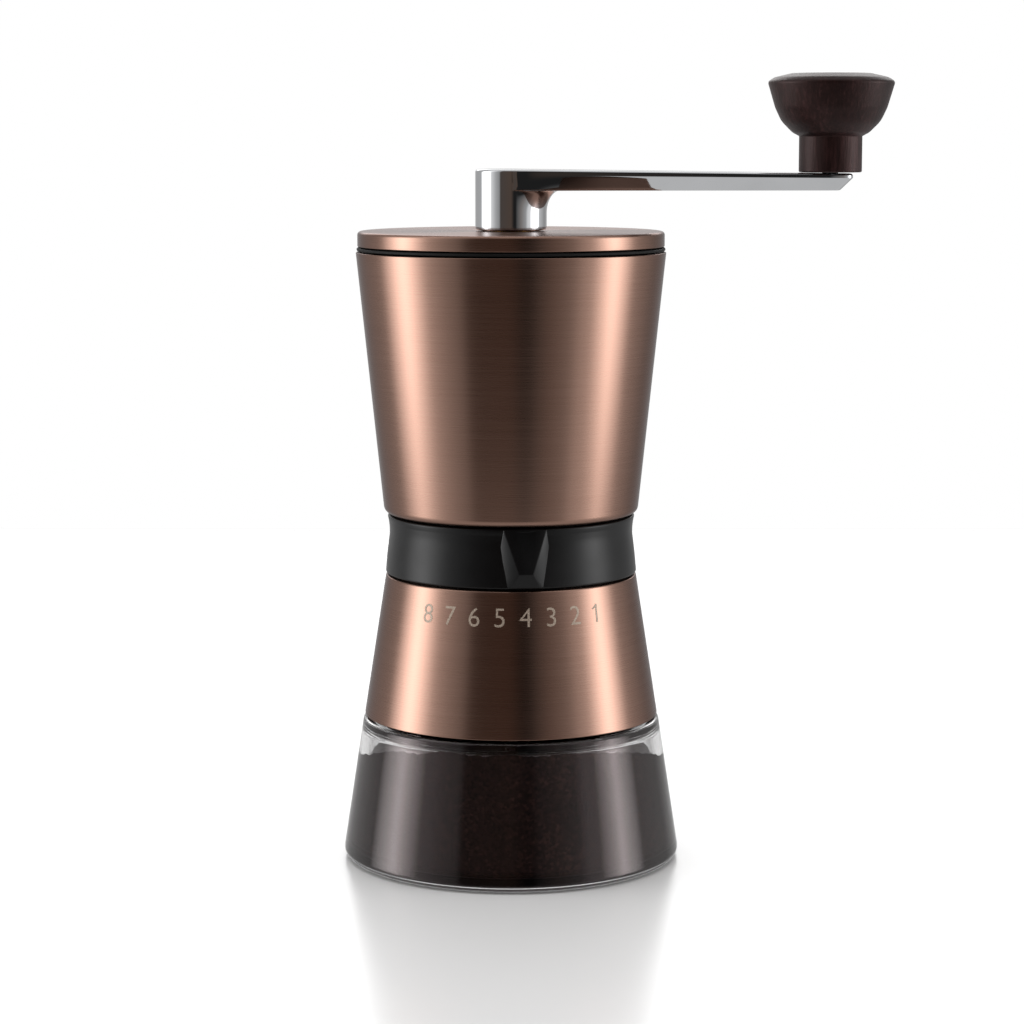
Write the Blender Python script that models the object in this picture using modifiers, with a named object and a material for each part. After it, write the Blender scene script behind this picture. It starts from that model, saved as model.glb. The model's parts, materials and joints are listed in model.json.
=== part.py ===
"""Hand crank coffee grinder, modelled piece by piece.

The grinder stands on the foot of its glass jar. The origin is the centre of
that foot on the table, +Z is up and the crank points along +X. The scale on
the skirt faces -Y. Sizes are in millimetres and are turned to metres by MM.
"""
import math

import bmesh
import bpy
from mathutils import Matrix, Vector

MM = 0.001

# ---- driving dimensions (mm, degrees) --------------------------------------
GAP = 0.3                 # left between two pieces that touch

JAR_BASE_R = 43.0         # widest radius of the glass, just above its foot
JAR_SHOULDER_R = 37.8
JAR_SHOULDER_Z = 36.3
JAR_MOUTH_Z = 48.5
JAR_NECK_R = 31.0
JAR_WALL = 3.0
THREAD_LEAD = 8.0
THREAD_CREST_R = 32.2

SHEET = 0.8               # thickness of the coppered steel shells
SKIRT_BOTTOM_Z, SKIRT_BOTTOM_R = 37.0, 37.55
SKIRT_TOP_Z, SKIRT_TOP_R = 73.1, 31.9
SOCKET_BORE_R = 32.6      # bore that the jar screws into
SLEEVE_BORE_R = 28.8      # bore that the cam sleeve turns in
DECK_LOW_Z, DECK_TOP_Z = 50.7, 52.4
DECK_HOLE_R = 19.5

RING_LOW_Z, RING_TOP_Z = 73.6, 88.4
RING_BORE_R = 28.6
SLEEVE_R, SLEEVE_INNER_R = 28.3, 25.0
SLEEVE_LOW_Z, SLEEVE_TOP_Z = 52.9, 88.0
CLICK_STEP = 11.2         # turn of the ring between two settings
CLICKS_FINER, CLICKS_COARSER = 3, 4
POINTER_AZIMUTH = 6.4     # from the front, -Y, towards +X
CAM_LEAD = 4.8            # rise of the burr carrier in a full turn of the ring

HOPPER_LOW_Z, HOPPER_TOP_Z = 88.8, 154.8
HOPPER_LOW_R, HOPPER_TOP_R = 32.6, 39.13
LINER_WALL = 1.8
THROAT_R = 19.0
THROAT_TOP_Z = 96.0
NECK_R, NECK_LOW_Z = 24.6, 75.0
FUNNEL_TOP_Z, FUNNEL_WALL = 120.0, 3.6

LID_LOW_Z, LID_TOP_Z, LID_R = 156.2, 160.0, 38.7
HUB_R, HUB_LOW_Z, HUB_TOP_Z = 9.0, 160.3, 175.5
ARM_LOW_Z = 170.2
ARM_TIP_R, ARM_TIP_TOP_Z, ARM_DRAFT = 5.4, 174.5, 2.0
SHANK_R = 5.0
KNOB_X = 80.2
KNOB_LOW_Z, KNOB_TOP_Z = 175.3, 199.3
KNOB_STEM_R, KNOB_RIM_R, KNOB_CROWN_R = 7.9, 15.9, 9.9

SHAFT_R = 3.5
SHAFT_LOW_Z, SHAFT_TOP_Z = 49.3, 146.5
HEX_FLATS = 6.4
BURR_LOW_Z, BURR_TOP_Z = 58.1, 74.1
SCREW_CIRCLE_R = 22.2
LEG_ANGLES = (30, 150, 270)
SPOKE_ANGLES = (90, 210, 330)

SCREW_SPOT = Vector((SCREW_CIRCLE_R * MM, 0, 0))

ROUND = 40                # sides of a large turned piece
SMALL = 24                # sides of a shaft or bush
TINY = 14                 # sides of a screw

# ---- collections and materials ---------------------------------------------
for old in list(bpy.data.objects):
    bpy.data.objects.remove(old, do_unlink=True)

grinder = bpy.data.collections.new("coffee_grinder")
cutters = bpy.data.collections.new("cutters")
for collection in (grinder, cutters):
    bpy.context.scene.collection.children.link(collection)

FINISHES = {
    "brushed_copper_steel": ((0.30, 0.15, 0.10), 0.32, 1.0),
    "black_plastic": ((0.012, 0.012, 0.013), 0.45, 0.0),
    "grey_rubber": ((0.05, 0.05, 0.05), 0.70, 0.0),
    "polished_steel": ((0.70, 0.70, 0.71), 0.08, 1.0),
    "machined_steel": ((0.45, 0.45, 0.46), 0.30, 1.0),
    "burr_ceramic": ((0.75, 0.73, 0.68), 0.50, 0.0),
    "bronze_bush": ((0.42, 0.26, 0.11), 0.35, 1.0),
    "dark_wood": ((0.035, 0.018, 0.015), 0.45, 0.0),
    "clear_glass": ((0.90, 0.93, 0.92), 0.02, 0.0),
}


def finish(node, kind):
    """Give a node its own material of one of the finishes above."""
    colour, roughness, metallic = FINISHES[kind]
    material = bpy.data.materials.new(node.name)
    material.use_nodes = True
    shader = material.node_tree.nodes["Principled BSDF"]
    shader.inputs["Base Color"].default_value = (*colour, 1)
    shader.inputs["Roughness"].default_value = roughness
    shader.inputs["Metallic"].default_value = metallic
    if kind == "clear_glass":
        shader.inputs["Transmission Weight"].default_value = 1
    node.data.materials.append(material)


# ---- modelling helpers ------------------------------------------------------
def place(name, mesh, parent=None, kind=None):
    """Link a mesh as a part of the grinder, or as a cutter if it has no finish."""
    node = bpy.data.objects.new(name, mesh)
    if kind:
        grinder.objects.link(node)
        node.parent = parent
        mesh.shade_smooth()
        mesh.set_sharp_from_angle(angle=math.radians(30))
        finish(node, kind)
    else:
        cutters.objects.link(node)
        node.hide_render = True
        node.display_type = "WIRE"
    return node


def mesh_from(name, build):
    """Run build(bm) on an empty bmesh and return the mesh, in metres."""
    bm = bmesh.new()
    build(bm)
    bmesh.ops.scale(bm, vec=(MM, MM, MM), verts=bm.verts)
    mesh = bpy.data.meshes.new(name)
    bm.to_mesh(mesh)
    bm.free()
    return mesh


def turned(name, profile, parent=None, kind=None, ring=True, sides=ROUND):
    """Turn a profile of (radius, height) about the piece's own Z axis.

    The profile runs down the outer side first. A ring's profile closes on
    itself, and any other profile starts and ends on the axis.
    """
    def outline(bm):
        corners = [bm.verts.new((r, 0, z)) for r, z in profile]
        pairs = list(zip(corners, corners[1:]))
        if ring:
            pairs.append((corners[-1], corners[0]))
        for pair in pairs:
            bm.edges.new(pair)

    node = place(name, mesh_from(name, outline), parent, kind)
    screw = node.modifiers.new("turn", "SCREW")
    screw.steps = screw.render_steps = sides
    screw.use_merge_vertices = True
    screw.merge_threshold = 0.00001
    screw.use_smooth_shade = True
    return node


def bush(name, inner, outer, low, top, parent=None, kind=None, sides=SMALL):
    """A plain tube: a bush, washer or spacer."""
    profile = [(outer, top), (outer, low), (inner, low), (inner, top)]
    return turned(name, profile, parent, kind, sides=sides)


def rod(name, radius, low, top, parent=None, kind=None, sides=SMALL):
    """A solid cylinder on the piece's own axis."""
    profile = [(0, top), (radius, top), (radius, low), (0, low)]
    return turned(name, profile, parent, kind, ring=False, sides=sides)


def block(name, low, high, turn=0.0):
    """A cutter: a box between two corners, then turned about the main axis."""
    size = Vector(high) - Vector(low)
    middle = (Vector(high) + Vector(low)) / 2

    def build(bm):
        bmesh.ops.create_cube(bm, size=1)
        bmesh.ops.scale(bm, vec=size, verts=bm.verts)
        bmesh.ops.translate(bm, vec=middle, verts=bm.verts)

    node = place(name, mesh_from(name, build))
    node.rotation_euler.z = math.radians(turn)
    return node


def hull(name, corners, parent=None, kind=None):
    """The convex solid that spans a set of corners."""
    def build(bm):
        for corner in corners:
            bm.verts.new(corner)
        found = bmesh.ops.convex_hull(bm, input=bm.verts)
        spare = {v for v in found["geom_interior"] if isinstance(v, bmesh.types.BMVert)}
        bmesh.ops.delete(bm, geom=list(spare), context="VERTS")

    return place(name, mesh_from(name, build), parent, kind)


def disc_points(x, radius, z, sides=SMALL):
    """Points round a level circle whose centre is on the X axis."""
    turns = [math.tau * i / sides for i in range(sides)]
    return [(x + radius * math.cos(a), radius * math.sin(a), z) for a in turns]


def toothed(name, sections, teeth, depth, twist, parent=None, kind=None):
    """A toothed cone through (radius, height) sections, with slanted teeth."""
    def build(bm):
        rings = []
        for radius, z in sections:
            lean = math.radians(twist) * (z - sections[0][1])
            ring = []
            for i in range(2 * teeth):
                a = math.pi * i / teeth + lean
                r = radius - depth * (i % 2)
                ring.append(bm.verts.new((r * math.cos(a), r * math.sin(a), z)))
            rings.append(ring)
        count = 2 * teeth
        for low, top in zip(rings, rings[1:]):
            for i in range(count):
                j = (i + 1) % count
                bm.faces.new((low[i], low[j], top[j], top[i]))
        bm.faces.new(reversed(rings[0]))
        bm.faces.new(rings[-1])

    return place(name, mesh_from(name, build), parent, kind)


def helix_bar(name, inner, outer, height, z, rise, start, sweep, steps):
    """A bar of rectangular section wound round the axis as a cutter.

    It starts at the angle start with its middle at height z, and climbs by
    rise over the angle sweep.
    """
    half = height / 2
    section = [(outer, z + half), (outer, z - half), (inner, z - half), (inner, z + half)]
    bar = turned(name + "_section", section)
    screw = bar.modifiers["turn"]
    screw.angle = math.radians(sweep)
    screw.screw_offset = rise * MM
    screw.steps = screw.render_steps = steps
    bpy.context.view_layer.update()
    evaluated = bar.evaluated_get(bpy.context.evaluated_depsgraph_get())
    mesh = bpy.data.meshes.new_from_object(evaluated)
    bpy.data.objects.remove(bar)
    bm = bmesh.new()
    bm.from_mesh(mesh)
    bmesh.ops.holes_fill(bm, edges=bm.edges)
    bmesh.ops.recalc_face_normals(bm, faces=bm.faces)
    bmesh.ops.rotate(bm, cent=(0, 0, 0), verts=bm.verts,
                     matrix=Matrix.Rotation(math.radians(start), 3, "Z"))
    bm.to_mesh(mesh)
    bm.free()
    return place(name, mesh)


def coil(name, radius, wire, low, top, turns, parent, kind):
    """A compression spring of round wire on the piece's own axis."""
    path = bpy.data.curves.new(name, "CURVE")
    path.dimensions = "3D"
    path.bevel_depth = wire / 2 * MM
    path.bevel_resolution = 2
    path.use_fill_caps = True
    spline = path.splines.new("POLY")
    count = int(turns * 12) + 1
    spline.points.add(count - 1)
    bottom, head = low + wire / 2, top - wire / 2
    for i, point in enumerate(spline.points):
        share = i / (count - 1)
        a = math.tau * turns * share
        z = bottom + (head - bottom) * share
        point.co = (radius * math.cos(a) * MM, radius * math.sin(a) * MM, z * MM, 1)
    curve = bpy.data.objects.new(name + "_path", path)
    cutters.objects.link(curve)
    bpy.context.view_layer.update()
    evaluated = curve.evaluated_get(bpy.context.evaluated_depsgraph_get())
    mesh = bpy.data.meshes.new_from_object(evaluated)
    bpy.data.objects.remove(curve)
    bm = bmesh.new()
    bm.from_mesh(mesh)
    bmesh.ops.remove_doubles(bm, verts=bm.verts, dist=0.00001)
    bm.to_mesh(mesh)
    bm.free()
    return place(name, mesh, parent, kind)


def cut(node, tool, how="DIFFERENCE"):
    """Cut a tool out of a node, or join it on with how='UNION'."""
    step = node.modifiers.new(tool.name, "BOOLEAN")
    step.operation = how
    step.object = tool


def axis(name, x=0.0, parent=None):
    """An empty on the axis that a group of pieces turns or slides on."""
    empty = bpy.data.objects.new(name, None)
    grinder.objects.link(empty)
    empty.parent = parent
    empty.location.x = x * MM
    return empty


def shell_r(z):
    """Outer radius of the coppered shell at a height, skirt or hopper."""
    if z < RING_LOW_Z:
        share = (z - SKIRT_BOTTOM_Z) / (SKIRT_TOP_Z - SKIRT_BOTTOM_Z)
        return SKIRT_BOTTOM_R + share * (SKIRT_TOP_R - SKIRT_BOTTOM_R)
    share = (z - HOPPER_LOW_Z) / (HOPPER_TOP_Z - HOPPER_LOW_Z)
    return HOPPER_LOW_R - 0.3 + share * (HOPPER_TOP_R - HOPPER_LOW_R + 0.3)


def arc(cx, cz, radius, start, end, steps=4):
    """Points of an arc in a profile, by angles in degrees from +X to +Z."""
    turns = [math.radians(start + (end - start) * i / steps) for i in range(steps + 1)]
    return [(cx + radius * math.cos(a), cz + radius * math.sin(a)) for a in turns]


# ---- axes that the moving groups share --------------------------------------
lid_axis = axis("lid_axis")
crank_axis = axis("crank_axis", parent=lid_axis)
knob_axis = axis("knob_axis", x=KNOB_X, parent=crank_axis)
ring_axis = axis("ring_axis")
carrier_axis = axis("carrier_axis")
spindle_axis = axis("spindle_axis", parent=carrier_axis)
jar_axis = axis("jar_axis")


# ---- glass jar ---------------------------------------------------------------
def glass_jar():
    floor_z, ceiling_z = 3.5, 33.0
    neck_inner = JAR_NECK_R - JAR_WALL
    outer = [(neck_inner + 0.6, JAR_MOUTH_Z), (JAR_NECK_R - 0.6, JAR_MOUTH_Z),
             (JAR_NECK_R, JAR_MOUTH_Z - 0.6), (JAR_NECK_R, JAR_SHOULDER_Z)]
    outer += arc(JAR_SHOULDER_R - 1, JAR_SHOULDER_Z - 1, 1, 90, 9, 3)
    outer += arc(JAR_BASE_R - 2, 2, 2, 9, -70, 4)
    outer += [(JAR_BASE_R - 2, 0)]
    inner = [(0, 0), (0, floor_z), (JAR_BASE_R - 6.7, floor_z)]
    inner += arc(JAR_BASE_R - 5.7, floor_z + 3.2, 3.2, -60, 0, 3)
    inner += [(JAR_SHOULDER_R - 2.7, ceiling_z - 3.0), (JAR_SHOULDER_R - 4.7, ceiling_z)]
    inner += [(neck_inner + 1, ceiling_z + 0.6), (neck_inner, ceiling_z + 2),
              (neck_inner, JAR_MOUTH_Z - 0.6)]
    jar = turned("glass_jar", outer + inner, jar_axis, "clear_glass")
    start_z = JAR_SHOULDER_Z + 4.7
    ridge = helix_bar("jar_thread", JAR_NECK_R - 0.5, THREAD_CREST_R, 1.6, start_z,
                      THREAD_LEAD * 0.75, 0, 270, 30)
    cut(jar, ridge, "UNION")
    bush("jar_gasket", neck_inner, JAR_NECK_R, JAR_MOUTH_Z + GAP, DECK_LOW_Z - GAP,
         jar_axis, "grey_rubber", ROUND)


# ---- skirt: coppered shell over a threaded plastic liner ---------------------
def skirt():
    low, top = SKIRT_BOTTOM_Z, SKIRT_TOP_Z
    lip = SLEEVE_BORE_R + 0.9
    shell = [(lip, top), (shell_r(top) - 0.4, top), (shell_r(top - 0.4), top - 0.4),
             (shell_r(low + 0.2), low + 0.2), (shell_r(low) - 0.2, low),
             (shell_r(low) - SHEET, low), (shell_r(top) - SHEET, top - SHEET), (lip, top - SHEET)]
    turned("skirt_shell", shell, None, "brushed_copper_steel")

    inset = SHEET + GAP
    liner_top, liner_low = top - SHEET - GAP, low + 0.7
    liner = [(SLEEVE_BORE_R, liner_top), (shell_r(liner_top) - inset, liner_top),
             (shell_r(liner_low) - inset, liner_low), (SOCKET_BORE_R + 0.8, liner_low),
             (SOCKET_BORE_R, liner_low + 0.8), (SOCKET_BORE_R, DECK_LOW_Z),
             (DECK_HOLE_R, DECK_LOW_Z), (DECK_HOLE_R, DECK_TOP_Z), (SLEEVE_BORE_R, DECK_TOP_Z)]
    liner = turned("skirt_liner", liner, None, "black_plastic")
    start_z = JAR_SHOULDER_Z + 4.7 - 2.2 + THREAD_LEAD / 6
    ridge = helix_bar("socket_thread", SOCKET_BORE_R - 1.0, SOCKET_BORE_R + 0.5, 1.6, start_z,
                      THREAD_LEAD * 0.75, 60, 270, 30)
    cut(liner, ridge, "UNION")
    pocket = block("leaf_pocket", (-10, SLEEVE_BORE_R - 2, 57.5), (10, 31.4, 66.5))
    cut(liner, pocket)
    for i, angle in enumerate(LEG_ANGLES, 1):
        hole = rod(f"deck_hole_{i}", 1.6, DECK_LOW_Z - 1, DECK_TOP_Z + 1, sides=TINY)
        hole.location = Matrix.Rotation(math.radians(angle), 3, "Z") @ SCREW_SPOT
        cut(liner, hole)

    def leaf(bm):
        """A flat strip with its middle bent towards the cam sleeve."""
        front = [(-9, 30.2), (-3.5, 30.2), (0, SLEEVE_R + 0.25), (3.5, 30.2), (9, 30.2)]
        back = [(9, 30.7), (3.2, 30.7), (0, SLEEVE_R + 0.75), (-3.2, 30.7), (-9, 30.7)]
        face = bm.faces.new([bm.verts.new((x, y, 59)) for x, y in front + back])
        raised = bmesh.ops.extrude_face_region(bm, geom=[face])["geom"]
        top_verts = [v for v in raised if isinstance(v, bmesh.types.BMVert)]
        bmesh.ops.translate(bm, vec=(0, 0, 6), verts=top_verts)
        bmesh.ops.recalc_face_normals(bm, faces=bm.faces)

    place("click_leaf", mesh_from("click_leaf", leaf), None, "machined_steel")


# ---- setting ring and the cam sleeve that it turns ---------------------------
def setting_ring():
    low, top = RING_LOW_Z, RING_TOP_Z
    outside = [(31.0, top), (31.45, top - 0.45), (31.1, top - 1.8), (30.88, 84.7),
               (31.15, 81.6), (31.55, 78.5), (31.95, low + 0.8), (31.5, low)]
    profile = [(RING_BORE_R, top)] + outside + [(RING_BORE_R, low)]
    ring = turned("adjust_ring", profile, ring_axis, "black_plastic")
    back = -29.8
    high, foot = top - 0.1, low + 0.4
    wedge = [(0, -31.6, high)]
    for side in (-1, 1):
        wedge += [(side * 5.8, back, high), (side * 5.9, -30.9, high), (side * 1.7, -34.0, 77.6),
                  (side * 4.6, -31.7, foot), (side * 4.5, back, foot)]
    pointer = hull("pointer", wedge)
    pointer.rotation_euler.z = math.radians(POINTER_AZIMUTH)
    cut(ring, pointer, "UNION")

    sleeve = bush("cam_sleeve", SLEEVE_INNER_R, SLEEVE_R, SLEEVE_LOW_Z, SLEEVE_TOP_Z,
                  ring_axis, "black_plastic", ROUND)
    before = CLICKS_FINER * CLICK_STEP + 7
    sweep = (CLICKS_FINER + CLICKS_COARSER) * CLICK_STEP + 14
    fall = CAM_LEAD * sweep / 360
    for i, angle in enumerate(SPOKE_ANGLES, 1):
        start_z = 56.2 + CAM_LEAD * before / 360
        groove = helix_bar(f"cam_groove_{i}", SLEEVE_INNER_R - 1, 26.9, 2.8, start_z,
                           -fall, angle - before, sweep, 10)
        cut(sleeve, groove)
    for i in range(-CLICKS_COARSER, CLICKS_FINER + 1):
        notch = hull(f"notch_{i + CLICKS_COARSER}",
                     [(x, y, z) for z in (57, 67) for x, y in ((0, 27.6), (-1.3, 29), (1.3, 29))])
        notch.rotation_euler.z = math.radians(-i * CLICK_STEP)
        cut(sleeve, notch)


# ---- hopper ------------------------------------------------------------------
def hopper():
    low, top = HOPPER_LOW_Z, HOPPER_TOP_Z
    lip = SLEEVE_R - 1.0
    corner_r = HOPPER_LOW_R - 1.6
    shell = [(shell_r(top) - SHEET, top), (shell_r(top) - 0.2, top), (shell_r(top), top - 0.2)]
    shell += arc(corner_r, low + 1.6, 1.6, 0, -90, 5)
    shell += [(lip, low), (lip, low + SHEET)]
    shell += arc(corner_r - 0.1, low + 1.6, 0.8, -90, 0, 3)
    turned("hopper_shell", shell, None, "brushed_copper_steel")

    inset = SHEET + GAP
    wall = inset + LINER_WALL
    rim, foot = top - 0.3, low + SHEET + GAP
    liner = [(shell_r(rim) - wall, rim), (shell_r(rim) - inset, rim), (shell_r(92) - inset, 92),
             (corner_r - 0.9, foot), (corner_r - 2.4, foot), (shell_r(92) - wall, 93)]
    turned("hopper_liner", liner, None, "black_plastic")

    under_z = FUNNEL_TOP_Z - FUNNEL_WALL
    cone_r = shell_r(under_z) - wall - GAP
    slope = (cone_r - THROAT_R) / (FUNNEL_TOP_Z - THROAT_TOP_Z)
    under_r = cone_r - 0.4
    neck_z = under_z - (under_r - NECK_R) / slope
    funnel_profile = [(cone_r, FUNNEL_TOP_Z), (cone_r, under_z + 0.8), (under_r, under_z),
                      (NECK_R, neck_z), (NECK_R, NECK_LOW_Z), (THROAT_R, NECK_LOW_Z),
                      (THROAT_R, THROAT_TOP_Z)]
    funnel = turned("hopper_funnel", funnel_profile, None, "black_plastic")
    for i, angle in enumerate(LEG_ANGLES, 1):
        hole = rod(f"neck_hole_{i}", 1.5, NECK_LOW_Z - 2, 86, sides=TINY)
        hole.location = Matrix.Rotation(math.radians(angle + 60), 3, "Z") @ SCREW_SPOT
        cut(funnel, hole)


def upper_bridge():
    bridge = bush("upper_bridge", 5.5, 7.6, 89.0, 102.0, None, "black_plastic")
    rim = bush("bridge_rim", 16.8, THROAT_R - GAP, 90.5, 95.5, sides=ROUND)
    cut(bridge, rim, "UNION")
    for i, angle in enumerate(SPOKE_ANGLES, 1):
        spoke = block(f"bridge_spoke_{i}", (6.6, -1.6, 90.8), (17.8, 1.6, 95.2), angle)
        cut(bridge, spoke, "UNION")
    bush("upper_bush", SHAFT_R + GAP, 5.2, 89.2, 101.8, None, "bronze_bush")
    coil("burr_spring", 5.6, 1.1, 75.3, 88.7, 5.5, None, "machined_steel")


# ---- burrs, their seat and the sliding carrier -------------------------------
def burr_seat():
    lip_low, lip_top, top = 58.9, 59.7, NECK_LOW_Z - GAP
    profile = [(20.3, top), (24.5, top), (24.5, lip_low), (18.6, lip_low), (18.6, lip_top),
               (20.3, lip_top)]
    seat = turned("burr_seat", profile, None, "black_plastic")
    sector = math.radians(13)
    for i, angle in enumerate(LEG_ANGLES, 1):
        corners = []
        for z in (DECK_TOP_Z + GAP, lip_low + 1):
            for r in (20.4, 24.4):
                for a in (-sector, 0, sector):
                    corners.append((r * math.cos(a), r * math.sin(a), z))
        leg = hull(f"seat_leg_{i}", corners)
        leg.rotation_euler.z = math.radians(angle)
        cut(seat, leg, "UNION")
    for i, angle in enumerate(LEG_ANGLES, 1):
        low_hole = rod(f"leg_hole_{i}", 1.4, DECK_TOP_Z - 1, 66, sides=TINY)
        low_hole.location = Matrix.Rotation(math.radians(angle), 3, "Z") @ SCREW_SPOT
        cut(seat, low_hole)
        through = rod(f"seat_hole_{i}", 1.4, lip_low - 2, top + 2, sides=TINY)
        spot = Matrix.Rotation(math.radians(angle + 60), 3, "Z") @ SCREW_SPOT
        through.location = spot
        cut(seat, through)


def screws():
    """Three screws lift the seat to the neck, and three hold the deck to its legs."""
    for i, angle in enumerate(LEG_ANGLES, 1):
        profile = [(0, 85.0), (1.1, 85.0), (1.1, 58.6), (1.9, 58.6), (1.9, 58.3), (0, 58.3)]
        seat_screw = turned(f"seat_screw_{i}", profile, None, "machined_steel", False, TINY)
        turn = Matrix.Rotation(math.radians(angle + 60), 3, "Z")
        seat_screw.location = turn @ SCREW_SPOT
        profile = [(0, 65.0), (1.1, 65.0), (1.1, 50.4), (2.1, 50.4), (2.1, 49.5), (0, 49.5)]
        deck_screw = turned(f"deck_screw_{i}", profile, None, "machined_steel", False, TINY)
        turn = Matrix.Rotation(math.radians(angle), 3, "Z")
        deck_screw.location = turn @ SCREW_SPOT


def burrs():
    outer_low, outer_top = 60.0, 74.4
    ring = bush("outer_burr", 13.4, 20.0, outer_low, outer_top, None, "burr_ceramic", ROUND)
    bite = toothed("outer_teeth", [(17.1, outer_low - 0.5), (15.1, 65.0), (15.6, 70.0), (17.5, 74.9)],
                   18, 0.7, 1.2)
    cut(ring, bite)

    inner = toothed("inner_burr", [(16.0, BURR_LOW_Z), (14.4, 62.1), (8.0, BURR_TOP_Z)],
                    14, 0.9, -2.0, spindle_axis, "burr_ceramic")
    cut(inner, rod("burr_bore", SHAFT_R + GAP, BURR_LOW_Z - 1, BURR_TOP_Z + 1))
    bush("spring_washer", SHAFT_R + GAP, 6.4, BURR_TOP_Z + 0.25, 75.0, spindle_axis, "machined_steel")


def carrier():
    hub_low, hub_top = 51.3, 56.9
    bridge = bush("lower_bridge", 5.4, 7.4, hub_low, hub_top, carrier_axis, "machined_steel")
    for i, angle in enumerate(SPOKE_ANGLES, 1):
        spoke = block(f"carrier_spoke_{i}", (6.9, -2.0, 55.0), (26.6, 2.0, 57.4), angle)
        cut(bridge, spoke, "UNION")
    bush("lower_bush", SHAFT_R + GAP, 5.1, hub_low + 0.2, hub_top - 0.2, carrier_axis, "bronze_bush")
    bush("thrust_washer", SHAFT_R + GAP, 6.5, 57.2, 57.8, carrier_axis, "bronze_bush")


def drive_shaft():
    groove = (50.0, 50.9)
    profile = [(0, 139.0), (SHAFT_R, 139.0), (SHAFT_R, groove[1]), (2.8, groove[1]),
               (2.8, groove[0]), (SHAFT_R, groove[0]), (SHAFT_R, SHAFT_LOW_Z + 0.5),
               (SHAFT_R - 0.5, SHAFT_LOW_Z), (0, SHAFT_LOW_Z)]
    shaft = turned("drive_shaft", profile, spindle_axis, "machined_steel", False, SMALL)
    corner_r = HEX_FLATS / 2 / math.cos(math.pi / 6)
    cut(shaft, rod("hex_head", corner_r, 137.0, SHAFT_TOP_Z, sides=6), "UNION")
    clip = bush("shaft_clip", 3.1, 5.8, groove[0] + 0.15, groove[1] - 0.15, spindle_axis,
                "machined_steel")
    cut(clip, block("clip_mouth", (0, -2.0, 49), (8, 2.0, 52)))


# ---- lid ---------------------------------------------------------------------
def lid():
    top, low = LID_TOP_Z, LID_LOW_Z
    hole_r = 7.5
    shell = [(hole_r, top)] + arc(LID_R - 1, top - 1, 1, 90, 0, 4)
    shell += [(LID_R, low), (LID_R - SHEET, low), (LID_R - SHEET, top - SHEET), (hole_r, top - SHEET)]
    turned("lid_shell", shell, lid_axis, "brushed_copper_steel")

    plug_r, plug_low = 35.9, 150.0
    cap_top = top - SHEET - GAP
    rim_r = LID_R - SHEET - GAP
    liner = [(hole_r, cap_top), (rim_r, cap_top), (rim_r, low), (plug_r - 1.0, low),
             (plug_r - 1.0, plug_low), (plug_r - 3.0, plug_low), (plug_r - 3.0, cap_top - 2.0),
             (10.2, cap_top - 2.0), (10.2, 153.2), (hole_r, 153.2)]
    turned("lid_liner", liner, lid_axis, "black_plastic")
    bush("lid_seal", plug_r - 0.6, 38.9, HOPPER_TOP_Z + GAP, low - GAP, lid_axis, "grey_rubber", ROUND)
    bush("hub_bush", SHANK_R + GAP, 7.2, 153.2, top - 0.1, lid_axis, "bronze_bush")


# ---- crank and knob ----------------------------------------------------------
def crank():
    arm = rod("crank_arm", HUB_R, HUB_LOW_Z, HUB_TOP_Z, crank_axis, "polished_steel", ROUND)
    corners = disc_points(0, HUB_R - 0.3, HUB_TOP_Z - 0.1)
    corners += disc_points(0, HUB_R - ARM_DRAFT, ARM_LOW_Z)
    corners += disc_points(KNOB_X, ARM_TIP_R, ARM_TIP_TOP_Z)
    corners += disc_points(KNOB_X, ARM_TIP_R - ARM_DRAFT, ARM_LOW_Z)
    cut(arm, hull("arm_bar", corners), "UNION")
    fillet_x, fillet_z, half_width = 17.4, 161.8, 6.5
    gusset = block("gusset", (0, -half_width, fillet_z), (fillet_x, half_width, ARM_LOW_Z + 1))
    scoop = rod("gusset_scoop", fillet_x - HUB_R, -half_width - 2, half_width + 2)
    scoop.rotation_euler.x = math.radians(90)
    scoop.location = (fillet_x * MM, 0, fillet_z * MM)
    cut(gusset, scoop)
    cut(arm, gusset, "UNION")
    cut(arm, rod("shank", SHANK_R, 152.0, HUB_LOW_Z + 1), "UNION")
    cut(arm, rod("shank_hole", 1.8, 150.0, 160.0, sides=TINY))
    screw_hole = rod("arm_hole", 2.3, ARM_LOW_Z - 1, HUB_TOP_Z, sides=TINY)
    screw_hole.location.x = KNOB_X * MM
    cut(arm, screw_hole)

    bush("crank_washer", SHANK_R + GAP, 8.6, 152.2, 152.9, crank_axis, "machined_steel")
    pocket_top = SHAFT_TOP_Z + 0.6
    socket = [(1.8, 151.7), (6.6, 151.7), (6.6, 140.6), (6.2, 140.2), (4.6, 140.2),
              (4.6, 141.2), (3.0, 141.2), (3.0, 149.4), (1.8, 149.4)]
    socket = turned("drive_socket", socket, crank_axis, "machined_steel", sides=SMALL)
    corner_r = (HEX_FLATS + 2 * GAP) / 2 / math.cos(math.pi / 6)
    cut(socket, rod("hex_pocket", corner_r, 139.0, pocket_top, sides=6))
    profile = [(0, 158.5), (1.5, 158.5), (1.5, 149.1), (2.6, 149.1), (2.6, 147.4), (0, 147.4)]
    turned("socket_screw", profile, crank_axis, "machined_steel", False, TINY)

    sleeve = [(4.2, 193.0), (4.2, 176.0), (5.6, 176.0), (5.6, ARM_TIP_TOP_Z + 0.35),
              (2.3, ARM_TIP_TOP_Z + 0.35), (2.3, 193.0)]
    sleeve = turned("knob_sleeve", sleeve, crank_axis, "machined_steel", sides=SMALL)
    profile = [(0, 195.3), (3.7, 195.3), (3.7, 193.3), (2.0, 193.3), (2.0, 170.6), (0, 170.6)]
    screw = turned("knob_screw", profile, crank_axis, "machined_steel", False, TINY)
    for node in (sleeve, screw):
        node.location.x = KNOB_X * MM


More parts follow.
